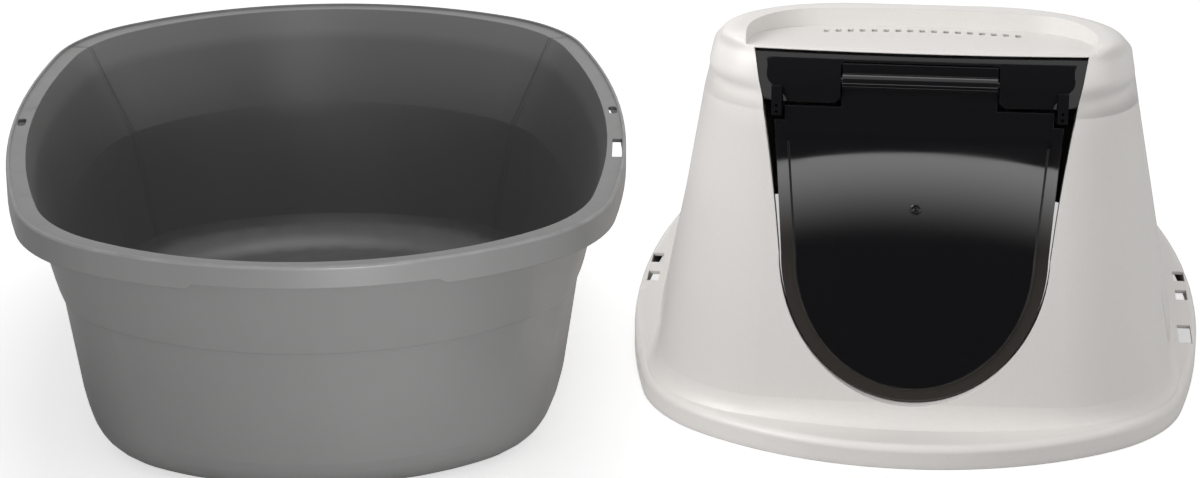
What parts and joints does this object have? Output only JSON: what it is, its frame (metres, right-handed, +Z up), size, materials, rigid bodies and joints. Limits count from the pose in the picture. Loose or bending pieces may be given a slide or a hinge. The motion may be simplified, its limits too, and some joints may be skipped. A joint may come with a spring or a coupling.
{
  "type": "covered litter box",
  "caption": "Covered litter box: an open pan with a slotted rim ledge and, lifted off beside it, a domed hood with a swinging smoked flap and a vented roof recess.",
  "frame": {"origin": "middle of the whole set's footprint, on the surface it stands on", "axes": "+Z up; the pan is on the -X side and the hood on the +X side; both faces look towards -Y"},
  "size_m": [0.8174, 0.6394, 0.272],
  "materials": {
    "pan_plastic": "satin",
    "hood_plastic": "satin",
    "smoked_plastic": "polished",
    "tray_plastic": "satin",
    "filter_pad": "felted carbon"
  },
  "bodies": {
    "pan": {"litter_pan": "pan_plastic"},
    "hood": {"hood_shell": "hood_plastic", "door_visor": "smoked_plastic", "filter_tray": "tray_plastic", "filter_pad": "filter_pad"},
    "flap": {"door_flap": "smoked_plastic"}
  },
  "joints": [
    {"name": "hood_lift", "type": "slide", "parent": "pan", "child": "hood", "axis": [0, 0, 1], "range_m": [0, 0.3]},
    {"name": "door_swing", "type": "hinge", "parent": "hood", "child": "flap", "pos_m": [0.18511, -0.18437, 0.246], "axis": [0.9947, -0.1028, 0], "range_deg": [-75, 75]}
  ]
}
